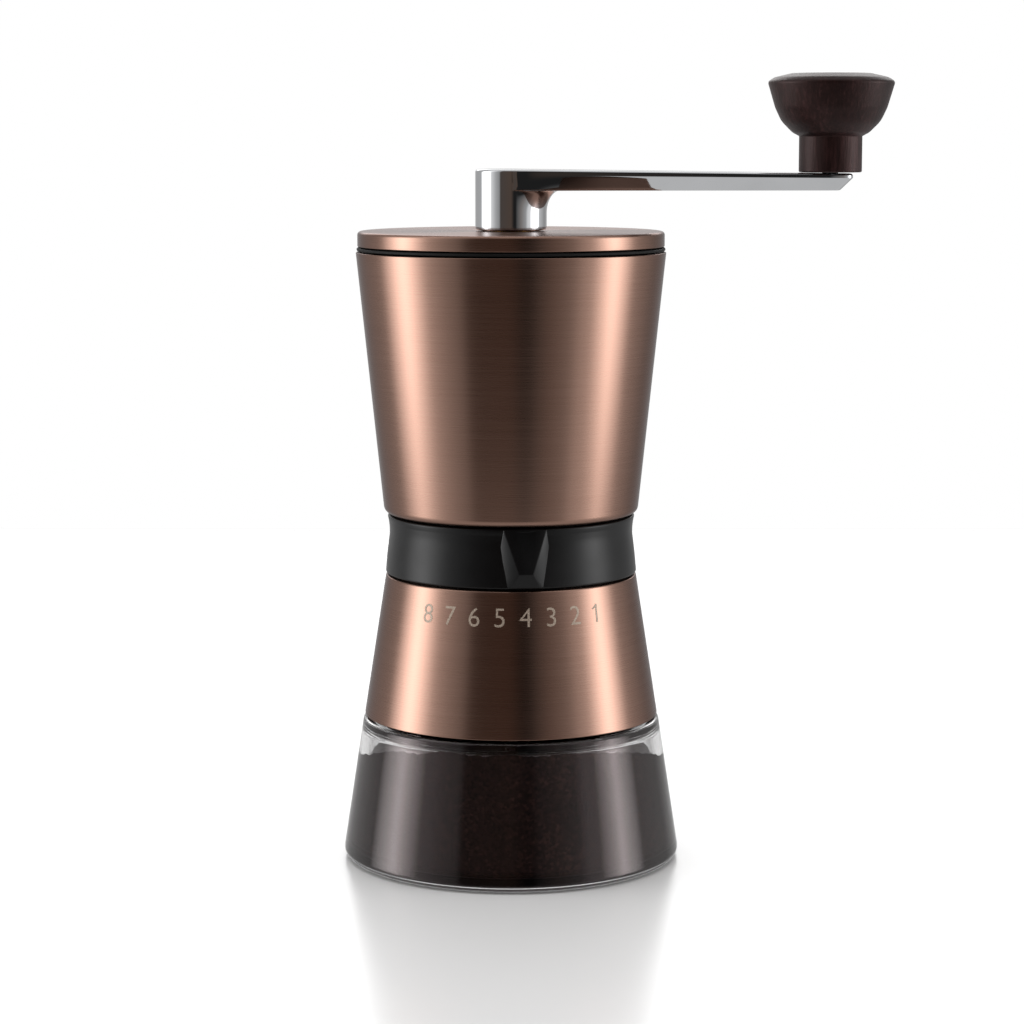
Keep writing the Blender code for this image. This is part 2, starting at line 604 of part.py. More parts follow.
def knob():
    outside = [(5.3, KNOB_TOP_Z), (KNOB_CROWN_R, KNOB_TOP_Z), (14.2, 198.3), (15.6, 197.5),
               (KNOB_RIM_R, 196.8), (15.7, 196.0), (14.9, 193.6), (14.0, 190.8), (12.9, 188.4),
               (11.4, 186.3), (9.6, 184.7), (KNOB_STEM_R + 0.1, 183.7), (KNOB_STEM_R, 182.6),
               (KNOB_STEM_R, KNOB_LOW_Z)]
    inside = [(5.9, KNOB_LOW_Z), (5.9, 176.4), (4.5, 176.4), (4.5, 192.6), (4.6, 192.6),
              (4.6, 196.2), (5.3, 196.2)]
    turned("knob", outside + inside, knob_axis, "dark_wood", sides=28)
    rod("knob_cap", 5.0, 196.5, KNOB_TOP_Z - 0.1, knob_axis, "dark_wood")


glass_jar()
skirt()
setting_ring()
hopper()
upper_bridge()
burr_seat()
screws()
burrs()
carrier()
drive_shaft()
lid()
crank()
knob()
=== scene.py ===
# %% [markdown]
# # A hand crank coffee grinder, finished in Blender
#
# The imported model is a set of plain, faceted solids that already have the
# right sizes and places. This lesson keeps those sizes and gives each piece
# its real surface: turned shells with small rolled edges, a polished crank, a
# stained wooden knob, a blown glass jar and the grounds inside it.

# %% Load the frame
import json
import math

import bmesh
import bpy
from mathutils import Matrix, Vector, noise


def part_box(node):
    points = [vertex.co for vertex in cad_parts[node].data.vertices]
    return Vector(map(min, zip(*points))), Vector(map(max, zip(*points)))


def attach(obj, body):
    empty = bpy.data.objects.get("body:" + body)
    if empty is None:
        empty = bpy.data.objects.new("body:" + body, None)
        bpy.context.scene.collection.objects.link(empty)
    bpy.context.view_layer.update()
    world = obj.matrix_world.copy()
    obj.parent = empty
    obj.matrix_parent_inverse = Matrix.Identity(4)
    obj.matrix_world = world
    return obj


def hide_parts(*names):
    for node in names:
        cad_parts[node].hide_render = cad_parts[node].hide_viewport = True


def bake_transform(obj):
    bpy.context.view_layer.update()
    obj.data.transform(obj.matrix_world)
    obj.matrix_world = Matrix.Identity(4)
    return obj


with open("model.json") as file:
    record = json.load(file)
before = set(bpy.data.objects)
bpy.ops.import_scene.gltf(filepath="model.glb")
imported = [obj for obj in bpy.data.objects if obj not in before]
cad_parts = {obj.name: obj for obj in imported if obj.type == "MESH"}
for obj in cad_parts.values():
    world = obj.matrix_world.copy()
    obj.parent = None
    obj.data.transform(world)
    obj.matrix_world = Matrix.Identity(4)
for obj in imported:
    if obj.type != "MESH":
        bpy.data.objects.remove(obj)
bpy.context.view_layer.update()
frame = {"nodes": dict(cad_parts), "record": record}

print("packed pieces:", len(frame["nodes"]))

# %% [markdown]
# ## Sizes
#
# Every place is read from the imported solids, so the fine pieces can't drift
# away from the model that moves. A small helper gives a node's lowest height,
# highest height and outer radius in millimetres, which is how a turner thinks
# of a part.

# %% Read sizes from the frame
MM = 0.001
SPIN_STEPS = 160            # sides of a turned piece; fine enough to look round


def turned_size(node):
    """Lowest height, highest height and outer radius of a node, in mm."""
    low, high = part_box(node)
    return low.z / MM, high.z / MM, high.y / MM


def line(z, low_point, high_point):
    """Radius at height z on the straight line between two (radius, height) points."""
    (r0, z0), (r1, z1) = low_point, high_point
    return r0 + (r1 - r0) * (z - z0) / (z1 - z0)


HOPPER_LOW, HOPPER_TOP, HOPPER_TOP_R = turned_size("hopper_shell")
SKIRT_LOW, SKIRT_TOP, SKIRT_LOW_R = turned_size("skirt_shell")
LID_LOW, LID_TOP, LID_R = turned_size("lid_shell")
RING_LOW, RING_TOP, RING_R = turned_size("adjust_ring")
JAR_LOW, JAR_TOP, JAR_R = turned_size("glass_jar")
KNOB_LOW, KNOB_TOP, KNOB_R = turned_size("knob")
KNOB_X = (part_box("knob")[0].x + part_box("knob")[1].x) / 2 / MM
print(f"hopper {HOPPER_LOW:.1f} to {HOPPER_TOP:.1f} mm, knob at x = {KNOB_X:.1f} mm")

# %% [markdown]
# ## Turning a profile
#
# Nearly every piece here was made on a lathe or spun from a disc, so the
# natural way to model it is the same: draw half the section and spin it. The
# profile is drawn by extruding one vertex from point to point. Corners are
# given with a small radius, because no real metal or moulded edge is sharp and
# that radius is what catches the light.

# %% The lathe
ARC_STEPS = 6


def rounded(corners):
    """Points of a closed profile; a corner is (radius, height, bend radius)."""
    points = []
    for i, (r, z, bend) in enumerate(corners):
        here = Vector((r, z))
        if not bend:
            points.append((r, z))
            continue
        back = (Vector(corners[i - 1][:2]) - here).normalized()
        ahead = (Vector(corners[(i + 1) % len(corners)][:2]) - here).normalized()
        half = back.angle(ahead) / 2
        start = here + back * bend / math.tan(half)
        middle = here + (back + ahead).normalized() * bend / math.sin(half)
        spoke = start - middle
        end = here + ahead * bend / math.tan(half) - middle
        turn = math.atan2(spoke.x * end.y - spoke.y * end.x, spoke.dot(end))
        for step in range(ARC_STEPS + 1):
            a = turn * step / ARC_STEPS
            points.append((middle.x + spoke.x * math.cos(a) - spoke.y * math.sin(a),
                           middle.y + spoke.x * math.sin(a) + spoke.y * math.cos(a)))
    return points


def nothing_selected():
    bpy.ops.object.select_all(action="DESELECT")


def smooth(piece, angle=32):
    """Shade a finished piece smooth, and keep its real corners crisp."""
    nothing_selected()
    piece.select_set(True)
    bpy.context.view_layer.objects.active = piece
    bpy.ops.object.shade_smooth_by_angle(angle=math.radians(angle))
    return piece


def lathe(name, corners, x=0.0, steps=SPIN_STEPS, ring=True):
    """Spin a profile about the Z axis through x. A ring's profile is closed."""
    points = rounded(corners)
    nothing_selected()
    bpy.ops.mesh.primitive_plane_add(size=MM, location=(0, 0, 0))
    piece = bpy.context.object
    piece.name = piece.data.name = name
    bpy.ops.object.mode_set(mode="EDIT")
    bpy.ops.mesh.select_all(action="SELECT")
    bpy.ops.mesh.merge(type="CENTER")
    r, z = points[0]
    bpy.ops.transform.translate(value=((x + r) * MM, 0, z * MM))
    for (r0, z0), (r1, z1) in zip(points, points[1:]):
        step = ((r1 - r0) * MM, 0, (z1 - z0) * MM)
        bpy.ops.mesh.extrude_vertices_move(TRANSFORM_OT_translate={"value": step})
    if ring:
        bm = bmesh.from_edit_mesh(piece.data)
        for vertex in bm.verts:
            vertex.select = len(vertex.link_edges) == 1
        bm.select_flush(True)
        bmesh.update_edit_mesh(piece.data)
        bpy.ops.mesh.edge_face_add()
    bpy.ops.mesh.select_all(action="SELECT")
    bpy.ops.mesh.spin(steps=steps, angle=math.tau, center=(x * MM, 0, 0), axis=(0, 0, 1))
    bpy.ops.mesh.select_all(action="SELECT")
    bpy.ops.mesh.remove_doubles(threshold=0.000002)
    bpy.ops.mesh.normals_make_consistent(inside=False)
    bpy.ops.object.mode_set(mode="OBJECT")
    return smooth(piece)


def settle(piece, body, slot, material, *nodes):
    """Fix a finished piece to its body and its material, and hide the nodes it stands for; the slot
    is not used.
    """
    piece.data.materials.clear()
    piece.data.materials.append(material)
    if body:
        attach(piece, body)
    if nodes:
        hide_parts(*nodes)
    return piece


# %% [markdown]
# ## A short way to write materials
#
# A material is a small graph of nodes. One function adds a node with its
# settings and its inputs; an input that is another node's output is linked,
# and anything else is set as a value. Colours are written the way a paint
# chart gives them, as sRGB hex, and turned to linear light.

# %% Colour and node helpers
def tone(hex_code):
    """sRGB hex, such as 8c6655, as a linear colour with alpha."""
    def linear(c):
        return c / 12.92 if c <= 0.04045 else ((c + 0.055) / 1.055) ** 2.4

    return (*(linear(int(hex_code[i:i + 2], 16) / 255) for i in (0, 2, 4)), 1)


def add(tree, kind, inputs=None, **settings):
    """Add a node; inputs are values or other nodes' outputs, by socket name or number."""
    made = tree.nodes.new(kind)
    for name, value in settings.items():
        setattr(made, name, value)
    for name, value in (inputs or {}).items():
        socket = made.inputs[name]
        if isinstance(value, bpy.types.NodeSocket):
            tree.links.new(value, socket)
        else:
            socket.default_value = value
    return made


def new_material(name):
    """An empty material with its node tree and its output node."""
    material = bpy.data.materials.new(name)
    material.use_nodes = True
    tree = material.node_tree
    tree.nodes.clear()
    return material, tree, add(tree, "ShaderNodeOutputMaterial")


def ramp(tree, factor, *stops, mode="LINEAR"):
    """A colour ramp from (place, colour) stops."""
    made = add(tree, "ShaderNodeValToRGB", {"Fac": factor})
    made.color_ramp.interpolation = mode
    elements = made.color_ramp.elements
    while len(elements) < len(stops):
        elements.new(0.5)
    for element, (place, colour) in zip(elements, stops):
        element.position = place
        element.color = colour
    return made.outputs["Color"]


# %% [markdown]
# ## Coppered brushed steel
#
# The hopper, skirt and lid are stainless steel, brushed on a lathe with a belt
# and then coated in copper-coloured PVD, a film thinner than a hair that keeps
# every brush line. The lines run level round the body. A metal brushed like
# that spreads a highlight across its lines, up and down, and stays quite sharp
# along them. Cycles calls this anisotropy, and it needs to know which way the
# lines run: a radial tangent about Z. The lines themselves are noise squeezed
# flat, so that one streak is about 0.2 mm high and 25 mm long. The real ones
# are finer than that and would vanish at this distance.

# %% Coppered steel
def coppered_steel():
    material, tree, output = new_material("coppered_brushed_stainless")
    place = add(tree, "ShaderNodeTexCoord").outputs["Object"]
    flat = add(tree, "ShaderNodeMapping", {"Vector": place, "Scale": (40, 40, 5200)})
    lines = add(tree, "ShaderNodeTexNoise",
                {"Vector": flat.outputs[0], "Scale": 1, "Detail": 3, "Roughness": 0.6})
    colour = ramp(tree, lines.outputs["Fac"], (0.30, tone("8d6f62")), (0.70, tone("947669")))
    rough = add(tree, "ShaderNodeMapRange",
                {"Value": lines.outputs["Fac"], "From Min": 0.3, "From Max": 0.7,
                 "To Min": 0.26, "To Max": 0.30})
    bump = add(tree, "ShaderNodeBump",
               {"Height": lines.outputs["Fac"], "Strength": 0.07, "Distance": 0.00003})
    tangent = add(tree, "ShaderNodeTangent", direction_type="RADIAL", axis="Z")
    shader = add(tree, "ShaderNodeBsdfPrincipled",
                 {"Base Color": colour, "Metallic": 1.0, "Roughness": rough.outputs[0],
                  "Specular Tint": (0.62, 0.64, 0.66, 1),
                  "Anisotropic": 0.65, "Anisotropic Rotation": 0.25,
                  "Tangent": tangent.outputs[0], "Normal": bump.outputs[0]})
    tree.links.new(shader.outputs[0], output.inputs["Surface"])
    return material


COPPER = coppered_steel()

# %% [markdown]
# ## Moulded plastic, rubber and the machined metals
#
# The setting ring is ABS with a soft satin skin: nearly black, with a fine
# moulded grain that breaks up its highlight. The liners inside are the same
# plastic, a little shinier. The seals are silicone rubber, quite matt. The
# crank is die-cast zinc, polished and chrome plated, so it is a near mirror
# with only a trace of waviness. The shaft and screws are turned steel.

# %% Plastic, rubber, chrome, steel, ceramic and bronze
def moulded(name, dark, light, roughness, grain, strength, shine=0.5):
    """A moulded or cast surface: two close tones, and a grain of the given size in mm."""
    material, tree, output = new_material(name)
    place = add(tree, "ShaderNodeTexCoord").outputs["Object"]
    cloud = add(tree, "ShaderNodeTexNoise", {"Vector": place, "Scale": 90, "Detail": 3})
    colour = ramp(tree, cloud.outputs["Fac"], (0.35, tone(dark)), (0.65, tone(light)))
    skin = add(tree, "ShaderNodeTexNoise",
               {"Vector": place, "Scale": 1 / (grain * MM), "Detail": 2})
    bump = add(tree, "ShaderNodeBump",
               {"Height": skin.outputs["Fac"], "Strength": strength, "Distance": 0.0001})
    rough = add(tree, "ShaderNodeMapRange",
                {"Value": cloud.outputs["Fac"], "From Min": 0.3, "From Max": 0.7,
                 "To Min": roughness - 0.04, "To Max": roughness + 0.04})
    shader = add(tree, "ShaderNodeBsdfPrincipled",
                 {"Base Color": colour, "Roughness": rough.outputs[0],
                  "Specular IOR Level": shine, "Normal": bump.outputs[0]})
    tree.links.new(shader.outputs[0], output.inputs["Surface"])
    return material


def metal(name, dark, light, roughness, stretch, strength):
    """Bare metal: tool marks are noise stretched by (x, y, z) scales per metre."""
    material, tree, output = new_material(name)
    place = add(tree, "ShaderNodeTexCoord").outputs["Object"]
    marks = add(tree, "ShaderNodeMapping", {"Vector": place, "Scale": stretch})
    grain = add(tree, "ShaderNodeTexNoise",
                {"Vector": marks.outputs[0], "Scale": 1, "Detail": 3})
    colour = ramp(tree, grain.outputs["Fac"], (0.3, tone(dark)), (0.7, tone(light)))
    rough = add(tree, "ShaderNodeMapRange",
                {"Value": grain.outputs["Fac"], "From Min": 0.3, "From Max": 0.7,
                 "To Min": roughness * 0.8, "To Max": roughness * 1.2})
    bump = add(tree, "ShaderNodeBump",
               {"Height": grain.outputs["Fac"], "Strength": strength, "Distance": 0.0001})
    shader = add(tree, "ShaderNodeBsdfPrincipled",
                 {"Base Color": colour, "Metallic": 1.0, "Roughness": rough.outputs[0],
                  "Normal": bump.outputs[0]})
    tree.links.new(shader.outputs[0], output.inputs["Surface"])
    return material


SATIN_ABS = moulded("satin_black_abs", "070708", "0c0c0d", 0.32, 0.25, 0.05, 0.22)
LINER_ABS = moulded("moulded_black_abs", "0c0c0d", "141415", 0.33, 0.5, 0.06)
SILICONE = moulded("black_silicone_rubber", "060606", "0a0a0a", 0.62, 0.3, 0.12, 0.2)
CERAMIC = moulded("fired_alumina_ceramic", "d9d4c6", "ebe7dc", 0.50, 0.2, 0.25)
CHROME = metal("polished_chrome_plate", "c2c3c5", "cbccce", 0.05, (60, 60, 60), 0.01)
TURNED_STEEL = metal("turned_stainless_steel", "a9aaac", "c6c7c9", 0.26, (300, 300, 6000), 0.15)
BRONZE = metal("sintered_bronze", "8a6238", "b08650", 0.38, (2500, 2500, 2500), 0.20)

# %% [markdown]
# ## Stained beech
#
# The knob is turned from beech and stained nearly black. The pores still show
# as short dark dashes along the grain, which runs up the stem, and the stain
# sits lighter on the ridges between them. Long thin noise gives the dashes, a
# slower one the drift in colour, and the oiled skin has only a weak shine.

# %% Stained beech
def stained_beech():
    material, tree, output = new_material("stained_beech")
    place = add(tree, "ShaderNodeTexCoord").outputs["Object"]
    grain = add(tree, "ShaderNodeMapping", {"Vector": place, "Scale": (1500, 1500, 120)})
    pores = add(tree, "ShaderNodeTexNoise",
                {"Vector": grain.outputs[0], "Scale": 1, "Detail": 5, "Roughness": 0.6,
                 "Distortion": 0.3})
    drift = add(tree, "ShaderNodeMapping", {"Vector": place, "Scale": (160, 160, 30)})
    stain = add(tree, "ShaderNodeTexNoise",
                {"Vector": drift.outputs[0], "Scale": 1, "Detail": 3})
    both = add(tree, "ShaderNodeMix", {0: 0.45, 2: pores.outputs["Fac"], 3: stain.outputs["Fac"]},
               data_type="FLOAT")
    colour = ramp(tree, both.outputs[0], (0.34, tone("0e0606")), (0.50, tone("1c0e0d")),
                  (0.66, tone("352020")))
    bump = add(tree, "ShaderNodeBump",
               {"Height": pores.outputs["Fac"], "Strength": 0.35, "Distance": 0.0002})
    shader = add(tree, "ShaderNodeBsdfPrincipled",
                 {"Base Color": colour, "Roughness": 0.42, "Specular IOR Level": 0.26,
                  "Specular Tint": (1.0, 0.70, 0.68, 1), "Normal": bump.outputs[0]})
    tree.links.new(shader.outputs[0], output.inputs["Surface"])
    return material


BEECH = stained_beech()

# %% [markdown]
# ## Glass and coffee
#
# The jar is pressed soda-lime glass, with an index of 1.5 and hardly any tint
# of its own. Its reflections are set faintly warm, to sit with the copper above
# it. Medium fine coffee is nearly black behind glass, with lighter chaff here
# and there.

# %% Glass and ground coffee
def clear_glass():
    material, tree, output = new_material("clear_soda_lime_glass")
    place = add(tree, "ShaderNodeTexCoord").outputs["Object"]
    wave = add(tree, "ShaderNodeTexNoise", {"Vector": place, "Scale": 45, "Detail": 1})
    bump = add(tree, "ShaderNodeBump",
               {"Height": wave.outputs["Fac"], "Strength": 0.04, "Distance": 0.0005})
    shader = add(tree, "ShaderNodeBsdfPrincipled",
                 {"Base Color": tone("e8e7e7"), "Roughness": 0.0, "IOR": 1.5,
                  "Specular Tint": (1.0, 0.86, 0.86, 1),
                  "Transmission Weight": 1.0, "Normal": bump.outputs[0]})
    tree.links.new(shader.outputs[0], output.inputs["Surface"])
    return material


def ground_coffee():
    material, tree, output = new_material("ground_coffee")
    place = add(tree, "ShaderNodeTexCoord").outputs["Object"]
    grit = add(tree, "ShaderNodeTexVoronoi", {"Vector": place, "Scale": 1400})
    drift = add(tree, "ShaderNodeTexNoise", {"Vector": place, "Scale": 70, "Detail": 4})
    speck = add(tree, "ShaderNodeMix",
                {0: 0.5, 2: grit.outputs["Color"], 3: drift.outputs["Fac"]}, data_type="FLOAT")
    colour = ramp(tree, speck.outputs[0], (0.25, tone("120908")), (0.60, tone("231412")),
                  (0.80, tone("35211c")))
    bump = add(tree, "ShaderNodeBump",
               {"Height": grit.outputs["Distance"], "Strength": 0.5, "Distance": 0.0003})
    shader = add(tree, "ShaderNodeBsdfPrincipled",
                 {"Base Color": colour, "Roughness": 0.75, "Specular IOR Level": 0.1,
                  "Normal": bump.outputs[0]})
    tree.links.new(shader.outputs[0], output.inputs["Surface"])
    return material


GLASS = clear_glass()
COFFEE = ground_coffee()

# %% [markdown]
# ## The hopper
#
# The shell is a drawn cone of 0.8 mm sheet. Its lower edge rolls in over the
# liner, and its upper edge is only broken with a file. The edge's roll is a
# bend radius in the profile.

# %% Hopper shell and liner
SHEET = 0.8
HOPPER_LOW_R = HOPPER_TOP_R - 6.9


def hopper_r(z):
    return line(z, (HOPPER_LOW_R, HOPPER_LOW), (HOPPER_TOP_R, HOPPER_TOP))


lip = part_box("cam_sleeve")[1].y / MM - 1.0
hopper_shell = lathe("hopper_shell_fine", [
    (hopper_r(HOPPER_TOP) - SHEET, HOPPER_TOP, 0.15), (HOPPER_TOP_R, HOPPER_TOP, 0.25),
    (hopper_r(HOPPER_LOW), HOPPER_LOW, 1.9), (lip, HOPPER_LOW, 0), (lip, HOPPER_LOW + SHEET, 0),
    (hopper_r(HOPPER_LOW + SHEET) - SHEET, HOPPER_LOW + SHEET, 1.0)])
settle(hopper_shell, "housing", "coppered_steel", COPPER, "hopper_shell")
print("hopper faces:", len(hopper_shell.data.polygons))

# %% [markdown]
# ## The lid
#
# The lid is a shallow pressed cap with a crisp but rounded rim. The thin black
# line under it is the edge of its silicone seal.

# %% Lid, seal and liner
hub_hole = 7.5
SEAL_WIDTH = 3.6
lid_shell = lathe("lid_shell_fine", [
    (hub_hole, LID_TOP, 0.2), (LID_R, LID_TOP, 0.9), (LID_R, LID_LOW, 0.2),
    (LID_R - SHEET, LID_LOW, 0.2), (LID_R - SHEET, LID_TOP - SHEET, 0.3),
    (hub_hole, LID_TOP - SHEET, 0)])
settle(lid_shell, "lid", "coppered_steel", COPPER, "lid_shell")

seal_low, seal_top, seal_r = turned_size("lid_seal")
lid_seal = lathe("lid_seal_fine", [
    (seal_r - SEAL_WIDTH, seal_top, 0), (seal_r, seal_top, 0.35), (seal_r, seal_low, 0.35),
    (seal_r - SEAL_WIDTH, seal_low, 0)])
settle(lid_seal, "lid", "rubber", SILICONE, "lid_seal")

# %% [markdown]
# ## The skirt
#
# The skirt is the same sheet, drawn the other way: it widens towards the jar.

# %% Skirt shell
SKIRT_TOP_R = 31.9


def skirt_r(z):
    return line(z, (SKIRT_LOW_R, SKIRT_LOW), (SKIRT_TOP_R, SKIRT_TOP))


skirt_lip = 29.7
skirt_shell = lathe("skirt_shell_fine", [
    (skirt_lip, SKIRT_TOP, 0), (SKIRT_TOP_R, SKIRT_TOP, 0.5), (SKIRT_LOW_R, SKIRT_LOW, 0.25),
    (SKIRT_LOW_R - SHEET, SKIRT_LOW, 0.15), (SKIRT_TOP_R - SHEET, SKIRT_TOP - SHEET, 0.2),
    (skirt_lip, SKIRT_TOP - SHEET, 0)])
settle(skirt_shell, "housing", "coppered_steel", COPPER, "skirt_shell")

# %% [markdown]
# ## The scale
#
# The numbers 8 to 1 are burnt into the copper coat by a laser, which leaves
# bare, slightly rough steel. Each is set as type, made a mesh, cut fine enough
# to bend and then wrapped on the cone, a few hundredths of a millimetre deep.

# %% Numbers on the skirt
CLICK = 11.2                # degrees between two settings
POINTER = 6.4               # the ring's pointer, degrees right of the front
DIGIT_HEIGHT = 4.7
DIGIT_MIDDLE = 66.5
CAPITAL_SHARE = 0.70        # a capital's height as a share of the type size
PROUD = 0.04                # how far the type stands out of the cone
SLIM = 0.04                 # how much each stroke is thinned
FLAG_PLACE = (-0.55, 1.78)
FLAG_SIZE = (1.5, 0.42, 0.08)
FLAG_SLANT = 38


def add_flag(one):
    """The short slanted stroke at the top of the number 1."""
    nothing_selected()
    x, y = FLAG_PLACE
    bpy.ops.mesh.primitive_cube_add(size=MM, location=(x * MM, y * MM, 0), scale=FLAG_SIZE,
                                    rotation=(0, 0, math.radians(FLAG_SLANT)))
    bpy.ops.object.transform_apply(location=True, rotation=True, scale=True)
    one.select_set(True)
    bpy.context.view_layer.objects.active = one
    bpy.ops.object.join()


def number(text, turn):
    """One number, wrapped on the skirt at a turn from the front towards +X."""
    nothing_selected()
    bpy.ops.object.text_add(location=(0, 0, 0))
    piece = bpy.context.object
    piece.data.body = text
    piece.data.align_x = "CENTER"
    piece.data.align_y = "CENTER"
    piece.data.size = DIGIT_HEIGHT * MM / CAPITAL_SHARE
    piece.data.offset = -SLIM * MM
    piece.data.extrude = PROUD * MM
    piece.data.resolution_u = 6
    bpy.ops.object.convert(target="MESH")
    piece = bpy.context.object
    piece.name = piece.data.name = f"scale_number_{text}"
    if text == "1":
        add_flag(piece)
    bpy.ops.object.mode_set(mode="EDIT")
    bpy.ops.mesh.select_all(action="SELECT")
    bpy.ops.mesh.remove_doubles(threshold=0.000001)
    bpy.ops.mesh.subdivide(number_cuts=1)
    bpy.ops.object.mode_set(mode="OBJECT")
    for vertex in piece.data.vertices:
        x, y, depth = vertex.co
        z = DIGIT_MIDDLE + y / MM
        r = skirt_r(z) * MM + depth
        a = math.radians(turn) + x / (skirt_r(DIGIT_MIDDLE) * MM)
        vertex.co = (r * math.sin(a), -r * math.cos(a), z * MM)
    return piece


def etched_steel():
    material, tree, output = new_material("laser_etched_steel")
    place = add(tree, "ShaderNodeTexCoord").outputs["Object"]
    fine = add(tree, "ShaderNodeTexNoise", {"Vector": place, "Scale": 4000, "Detail": 2})
    colour = ramp(tree, fine.outputs["Fac"], (0.3, tone("9a8a7c")), (0.7, tone("b8a898")))
    bump = add(tree, "ShaderNodeBump",
               {"Height": fine.outputs["Fac"], "Strength": 0.2, "Distance": 0.00005})
    shader = add(tree, "ShaderNodeBsdfPrincipled",
                 {"Base Color": colour, "Metallic": 0.35, "Roughness": 0.55,
                  "Normal": bump.outputs[0]})
    tree.links.new(shader.outputs[0], output.inputs["Surface"])
    return material


ETCHED = etched_steel()
for step, text in enumerate("87654321"):
    turn = POINTER + (step - 4) * CLICK
    settle(number(text, turn), "housing", "coppered_steel", ETCHED)
print("numbers on the scale: 8")

# %% [markdown]
# ## The setting ring
#
# The ring is waisted like a pulley so that fingers can grip it. Its pointer is
# a raised wedge with a V-shaped face whose tip stands over the number that is
# set. The wedge is spanned from its corners, its edges are broken with a
# bevel, and a boolean joins it to the ring.

# %% Setting ring with its pointer
def spanned(name, points):
    """The convex solid through a list of corner points, in mm."""
    nothing_selected()
    bpy.ops.mesh.primitive_plane_add(size=MM, location=(0, 0, 0))
    piece = bpy.context.object
    piece.name = piece.data.name = name
    bpy.ops.object.mode_set(mode="EDIT")
    bpy.ops.mesh.select_all(action="SELECT")
    bpy.ops.mesh.merge(type="CENTER")
    bpy.ops.transform.translate(value=Vector(points[0]) * MM)
    for start, end in zip(points, points[1:]):
        step = (Vector(end) - Vector(start)) * MM
        bpy.ops.mesh.extrude_vertices_move(TRANSFORM_OT_translate={"value": step})
    bpy.ops.mesh.select_all(action="SELECT")
    bpy.ops.mesh.convex_hull()
    bpy.ops.mesh.select_all(action="SELECT")
    bpy.ops.mesh.dissolve_limited(angle_limit=math.radians(1))
    bpy.ops.mesh.normals_make_consistent(inside=False)
    bpy.ops.object.mode_set(mode="OBJECT")
    return piece


def apply(piece, kind, **settings):
    """Add a modifier with its settings, and apply it."""
    nothing_selected()
    piece.select_set(True)
    bpy.context.view_layer.objects.active = piece
    modifier = piece.modifiers.new(kind.lower(), kind)
    for name, value in settings.items():
        setattr(modifier, name, value)
    bpy.ops.object.modifier_apply(modifier=modifier.name)
    return piece


def combine(piece, tool, operation="UNION"):
    """Join or cut a piece with a tool, and clear the tool away."""
    apply(piece, "BOOLEAN", object=tool, operation=operation)
    bpy.data.objects.remove(tool)
    return piece


ring_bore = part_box("cam_sleeve")[1].y / MM + 0.3
adjust_ring = lathe("adjust_ring_fine", [
    (ring_bore, RING_TOP, 0.3), (31.5, RING_TOP, 0.45), (31.15, RING_TOP - 1.6, 3.0),
    (30.85, RING_LOW + 10.6, 12), (31.55, RING_LOW + 4.9, 12), (32.0, RING_LOW, 0.5),
    (ring_bore, RING_LOW, 0.3)])
high, foot = RING_TOP - 0.15, RING_LOW + 0.25
SHOULDER_Z, TIP_Z = 84.0, 77.6      # where the pointer is widest, and where it stands out most
ROOT_Y = -29.6                      # inside the ring's wall
corners = []
for side in (-1, 1):
    corners += [(side * 5.6, ROOT_Y, high), (side * 5.3, -31.15, high),
                (side * 6.0, -30.5, SHOULDER_Z), (side * 1.7, -34.0, TIP_Z),
                (side * 3.5, -32.1, foot), (side * 4.7, -31.4, foot),
                (side * 4.7, ROOT_Y, foot), (side * 6.0, ROOT_Y, SHOULDER_Z)]
pointer = spanned("pointer", corners)
apply(pointer, "BEVEL", width=0.00022, segments=3, limit_method="ANGLE",
      angle_limit=math.radians(20))
nothing_selected()
pointer.select_set(True)
pointer.rotation_euler.z = math.radians(POINTER)
bpy.context.view_layer.objects.active = pointer
bpy.ops.object.transform_apply(location=False, rotation=True, scale=False)
combine(adjust_ring, pointer)
settle(smooth(adjust_ring, 25), "adjuster", "black_plastic", SATIN_ABS, "adjust_ring")

# %% [markdown]
# ## The crank
#
# The crank is one casting: a round hub, and an arm that tapers towards the
# knob. Its sides lean in towards the underside, the draft that lets a casting
# leave its mould, and a fillet, deeper than it is wide, carries the arm into the
# hub. A stack of outlines describes this best, so a circle is extruded upwards
# level by level and each new level is set to the outline of the casting at that
# height.

# %% Crank outline
HUB_R = 9.0
HUB_LOW = 160.3
ARM_UNDER = 170.2
ARM_TOP = 175.5
ARM_FALL = 1.0 / KNOB_X     # the top falls 1 mm from the hub to the knob
TIP_X_TOP, TIP_HALF_TOP = 85.6, 5.6
DRAFT, TIP_DRAFT = 2.0, 3.0
CORNER = 2.6
FILLET_REACH, FILLET_RISE = 3.6, 5.6
FILLET_STEPS = 16
LEAN_NONE_X, LEAN_FULL_X = 3.0, 24.0    # the draft grows between these
SPREAD_FULL, SPREAD_NONE = 30, 82       # degrees from the arm: the fillet's foot fades out
JOIN_X = 30.0
TIP_COUNT, SIDE_COUNT, HUB_COUNT = 10, 12, 70


def blend_max(a, b, soft):
    return (a + b + math.sqrt((a - b) ** 2 + soft ** 2)) / 2


def ease(value, low, high):
    """0 below low, 1 above high, and a smooth step between."""
    t = min(1.0, max(0.0, (value - low) / (high - low)))
    return t * t * (3 - 2 * t)


